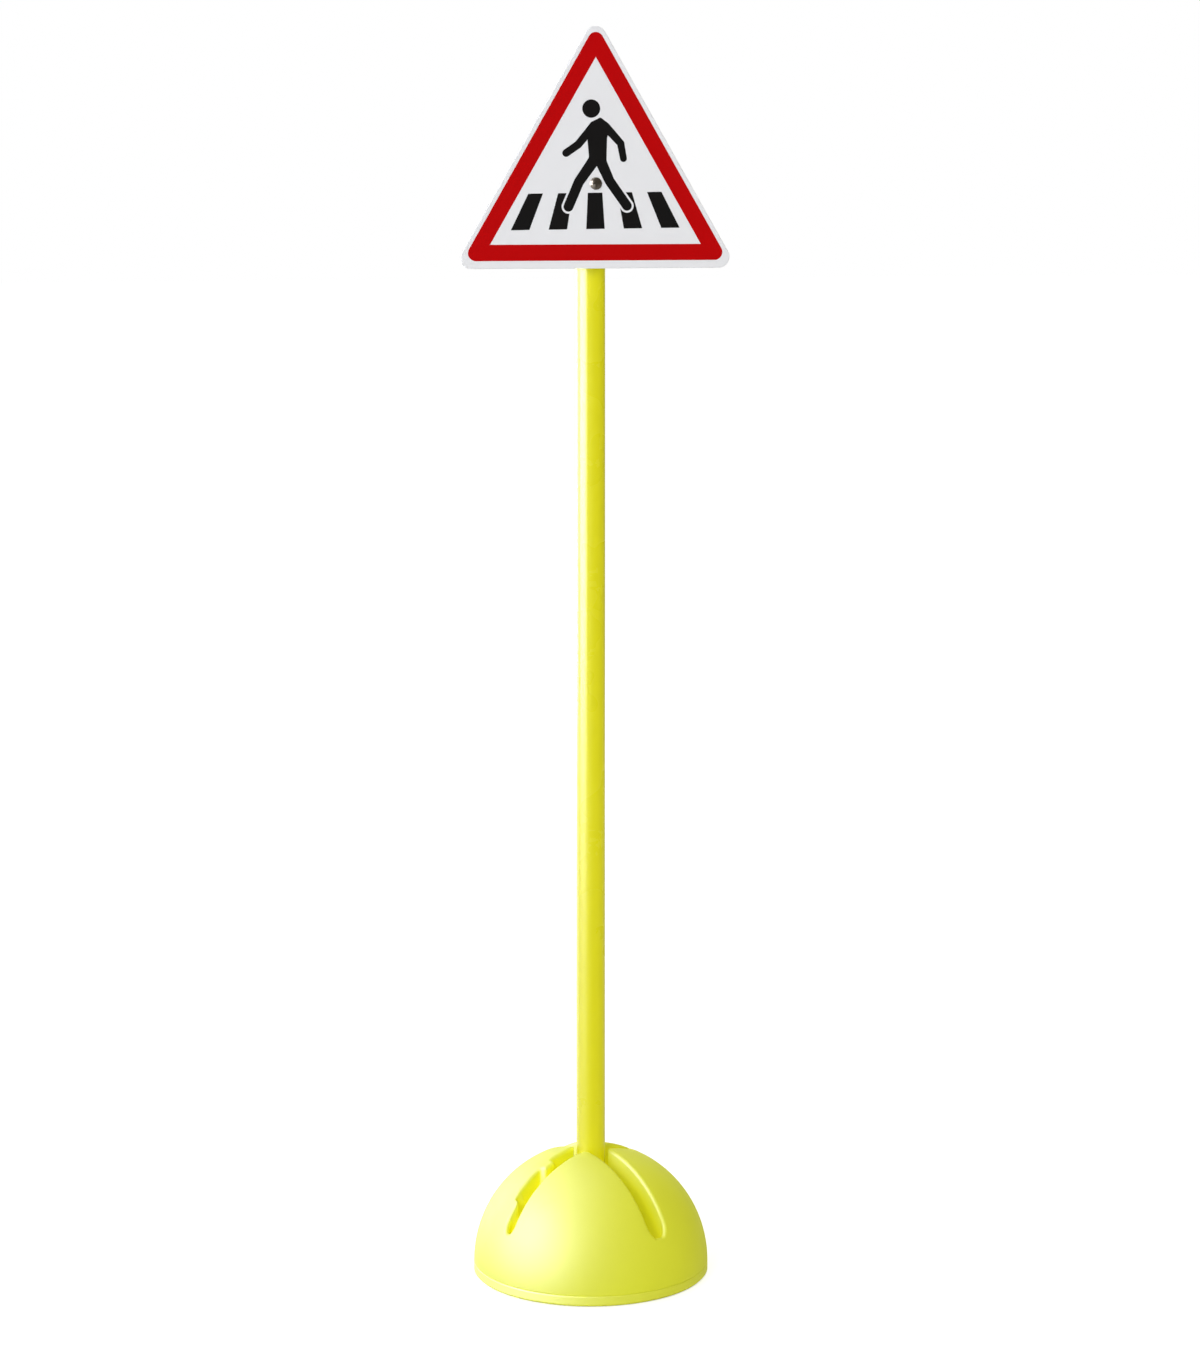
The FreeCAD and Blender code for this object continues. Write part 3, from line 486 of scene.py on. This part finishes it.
def makePlain(name, values):
    material, tree, shader = startMaterial(name)
    scales = {"Grain Scale": values["grainScale"], "Mottle Scale": plainShared["mottleScale"]}
    mottle, _ = texturePlastic(tree, shader, scales, plainShared["scuffs"], values["roughness"],
                               plainShared["bumpStrength"], values["bump"])
    link(tree, mixColours(tree, (-420, 200), mottle, *values["colours"]), shader.inputs["Base Color"])
    shader.inputs["Specular IOR Level"].default_value = values["specular"]
    shader.inputs["Metallic"].default_value = values["metallic"]
    return material


coverTints = {**yellowValues["foot"], "specular": yellowValues["coverSpecular"]}
finishes = {
    "footYellow": makeYellowPlastic("footYellow", yellowValues["foot"]),
    "coverYellow": makeYellowPlastic("coverYellow", coverTints),
    "poleYellow": makeYellowPlastic("poleYellow", yellowValues["pole"]),
}
for name, values in plainFinishes.items():
    finishes[name] = makePlain(name, values)


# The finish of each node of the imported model.
coats = {
    "sign_plate": "whitePlastic",
    "red_border_print": "redPrint",
    "walker_print": "blackPrint",
    "stripes_print": "blackPrint",
    "sign_screw": "screwWithPaintedReflection",
    "lock_nut": "brightZinc",
    "pole_clip": "poleYellow",
    "pole": "poleYellow",
    "pole_top_cap": "poleYellow",
    "pole_bottom_cap": "poleYellow",
    "dome_shell": "footYellow",
    "ballast": "castFilling",
    "bottom_cover": "coverYellow",
    "cover_screws": "brightZinc",
    "rubber_feet": "footRubber",
}


def coatMesh(mesh, finish):
    mesh.materials.clear()
    mesh.materials.append(finishes[finish])


for node, coat in coats.items():
    coatMesh(nodes[node].data, coat)
coatMesh(footShell.data, coats["dome_shell"])
print("stage 4: finishes on", len(coats), "nodes")


# Floor, white surround and lamps.
stageValues = {
    "floorSize": 40.0,
    "floorColour": (0.80, 0.80, 0.80),
    "floorRoughness": 0.9,
    # the floor's own light near the foot and far away, and the distances between which it grows
    "floorLift": (0.60, 0.80),
    "liftReach": (0.6, 3.0),
    # how much of it the gloss sees, on the left and on the right, and where it changes
    "floorGloss": (4.6, 0.12),
    "glossReach": (-0.5, 0.0),
    "ambient": 0.26,
    # where glossy rays see the white surround: left, behind and above, and least in front
    "glossyLean": (-0.82, 0.62, 0.40),
    "glossyMiddle": 0.48,
    "glossyLeast": 0.02,
}


def makeFloor():
    half = stageValues["floorSize"] / 2
    mesh = bpy.data.meshes.new("floor")
    corners = [(-half, -half, 0), (half, -half, 0), (half, half, 0), (-half, half, 0)]
    mesh.from_pydata(corners, [], [(0, 1, 2, 3)])
    floor = bpy.data.objects.new("floor", mesh)
    bpy.context.scene.collection.objects.link(floor)
    material, tree, shader = startMaterial("paleFloor")
    shader.inputs["Base Color"].default_value = (*stageValues["floorColour"], 1)
    shader.inputs["Roughness"].default_value = stageValues["floorRoughness"]
    shader.inputs["Specular IOR Level"].default_value = 0.0
    rays = addNode(tree, "ShaderNodeLightPath", (-700, -300))
    spot = addNode(tree, "ShaderNodeTexCoord", (-900, -600))
    sides = addNode(tree, "ShaderNodeSeparateXYZ", (-900, -440))
    link(tree, spot.outputs["Object"], sides.inputs["Vector"])
    gloss = addRange(tree, (-700, -440), sides.outputs["X"], stageValues["glossReach"],
                     stageValues["floorGloss"])
    inGloss = addMath(tree, "MULTIPLY", (-500, -420), rays.outputs["Is Glossy Ray"], gloss)
    seen = addMath(tree, "MAXIMUM", (-400, -300), rays.outputs["Is Camera Ray"], inGloss)
    away = addNode(tree, "ShaderNodeVectorMath", (-700, -600))
    away.operation = "LENGTH"
    link(tree, spot.outputs["Object"], away.inputs[0])
    lift = addRange(tree, (-500, -600), away.outputs["Value"], stageValues["liftReach"],
                    stageValues["floorLift"])
    shader.inputs["Emission Color"].default_value = (1, 1, 1, 1)
    link(tree, addMath(tree, "MULTIPLY", (-200, -300), seen, lift), shader.inputs["Emission Strength"])
    material.cycles.emission_sampling = "NONE"
    mesh.materials.append(material)


def makeSurround():
    world = bpy.data.worlds.new("whiteSurround")
    world.use_nodes = True
    world.cycles.sampling_method = "NONE"    # gloss then sees its own level, not the ambient one
    bpy.context.scene.world = world
    tree = world.node_tree
    back = tree.nodes["Background"]
    back.inputs["Color"].default_value = (1, 1, 1, 1)
    rays = addNode(tree, "ShaderNodeLightPath", (-900, 0))
    white = addMath(tree, "MAXIMUM", (-700, 0), rays.outputs["Is Camera Ray"],
                    rays.outputs["Is Transmission Ray"])
    way = addNode(tree, "ShaderNodeTexCoord", (-1100, -300))
    lean = addNode(tree, "ShaderNodeVectorMath", (-900, -300))
    lean.operation = "DOT_PRODUCT"
    lean.inputs[1].default_value = stageValues["glossyLean"]
    link(tree, way.outputs["Generated"], lean.inputs[0])
    raised = addMath(tree, "ADD", (-700, -300), lean.outputs["Value"], stageValues["glossyMiddle"])
    held = addNode(tree, "ShaderNodeClamp", (-500, -300), Min=stageValues["glossyLeast"])
    link(tree, raised, held.inputs["Value"])
    soft = addNode(tree, "ShaderNodeMix", (-300, -100))
    soft.inputs["A"].default_value = stageValues["ambient"]
    link(tree, rays.outputs["Is Glossy Ray"], soft.inputs["Factor"])
    link(tree, held.outputs["Result"], soft.inputs["B"])
    level = addMath(tree, "MAXIMUM", (-100, 0), white, soft.outputs["Result"])
    link(tree, level, back.inputs["Strength"])


# The gloss mirrors only the lamps on the left, behind and above. The others, and the left lamp, light the
# surface.
lampValues = {
    "leftLamp": {"place": (-2.3, 0.2, 1.0), "aim": 0.55, "size": (1.3, 2.3), "power": 8.0,
                 "lightsSurface": True, "showsInGloss": True},
    "leftSheen": {"place": (-2.4, -0.85, 1.1), "aim": 0.5, "size": (2.8, 2.6), "power": 700.0,
                  "lightsSurface": False, "showsInGloss": True},
    "rearSheen": {"place": (-1.9, 1.7, 1.1), "aim": 0.5, "size": (2.4, 2.4), "power": 170.0,
                  "lightsSurface": False, "showsInGloss": True},
    "topSheen": {"place": (-1.3, 0.3, 2.7), "aim": 0.1, "size": (2.2, 2.2), "power": 110.0,
                 "lightsSurface": False, "showsInGloss": True},
    "frontLamp": {"place": (-1.6, -2.4, 1.7), "aim": 0.5, "size": (1.4, 1.0), "power": 29.0,
                  "lightsSurface": True, "showsInGloss": False},
    "cameraFill": {"place": (0.6, -3.5, 1.2), "aim": 0.6, "size": (2.5, 2.0), "power": 18.0,
                   "lightsSurface": True, "showsInGloss": False},
    "rightFill": {"place": (2.4, -1.2, 1.4), "aim": 0.5, "size": (2.0, 2.0), "power": 12.0,
                  "lightsSurface": True, "showsInGloss": False, "colour": (1.0, 0.86, 0.66)},
    "topFill": {"place": (0.0, 0.3, 3.2), "aim": 0.4, "size": (3.0, 3.0), "power": 15.0,
                "lightsSurface": True, "showsInGloss": False},
    "backFill": {"place": (0.8, 2.6, 1.6), "aim": 0.5, "size": (2.0, 2.0), "power": 20.0,
                 "lightsSurface": True, "showsInGloss": False},
}


# A lamp aims at a height over the foot's middle, and is white unless its values give a colour.
def makeLamps():
    for name, values in lampValues.items():
        data = bpy.data.lights.new(name, "AREA")
        data.shape = "RECTANGLE"
        data.size, data.size_y = values["size"]
        data.energy = values["power"]
        data.color = values.get("colour", (1.0, 1.0, 1.0))
        lamp = bpy.data.objects.new(name, data)
        lamp.visible_diffuse = values["lightsSurface"]
        lamp.visible_glossy = values["showsInGloss"]
        lamp.location = values["place"]
        aim = Vector((0, 0, values["aim"]))
        lamp.rotation_euler = (aim - Vector(values["place"])).to_track_quat("-Z", "Y").to_euler()
        bpy.context.scene.collection.objects.link(lamp)


makeFloor()
makeSurround()
makeLamps()
bpy.context.scene.view_settings.view_transform = "Standard"
print("stage 5: floor, surround and lamps")
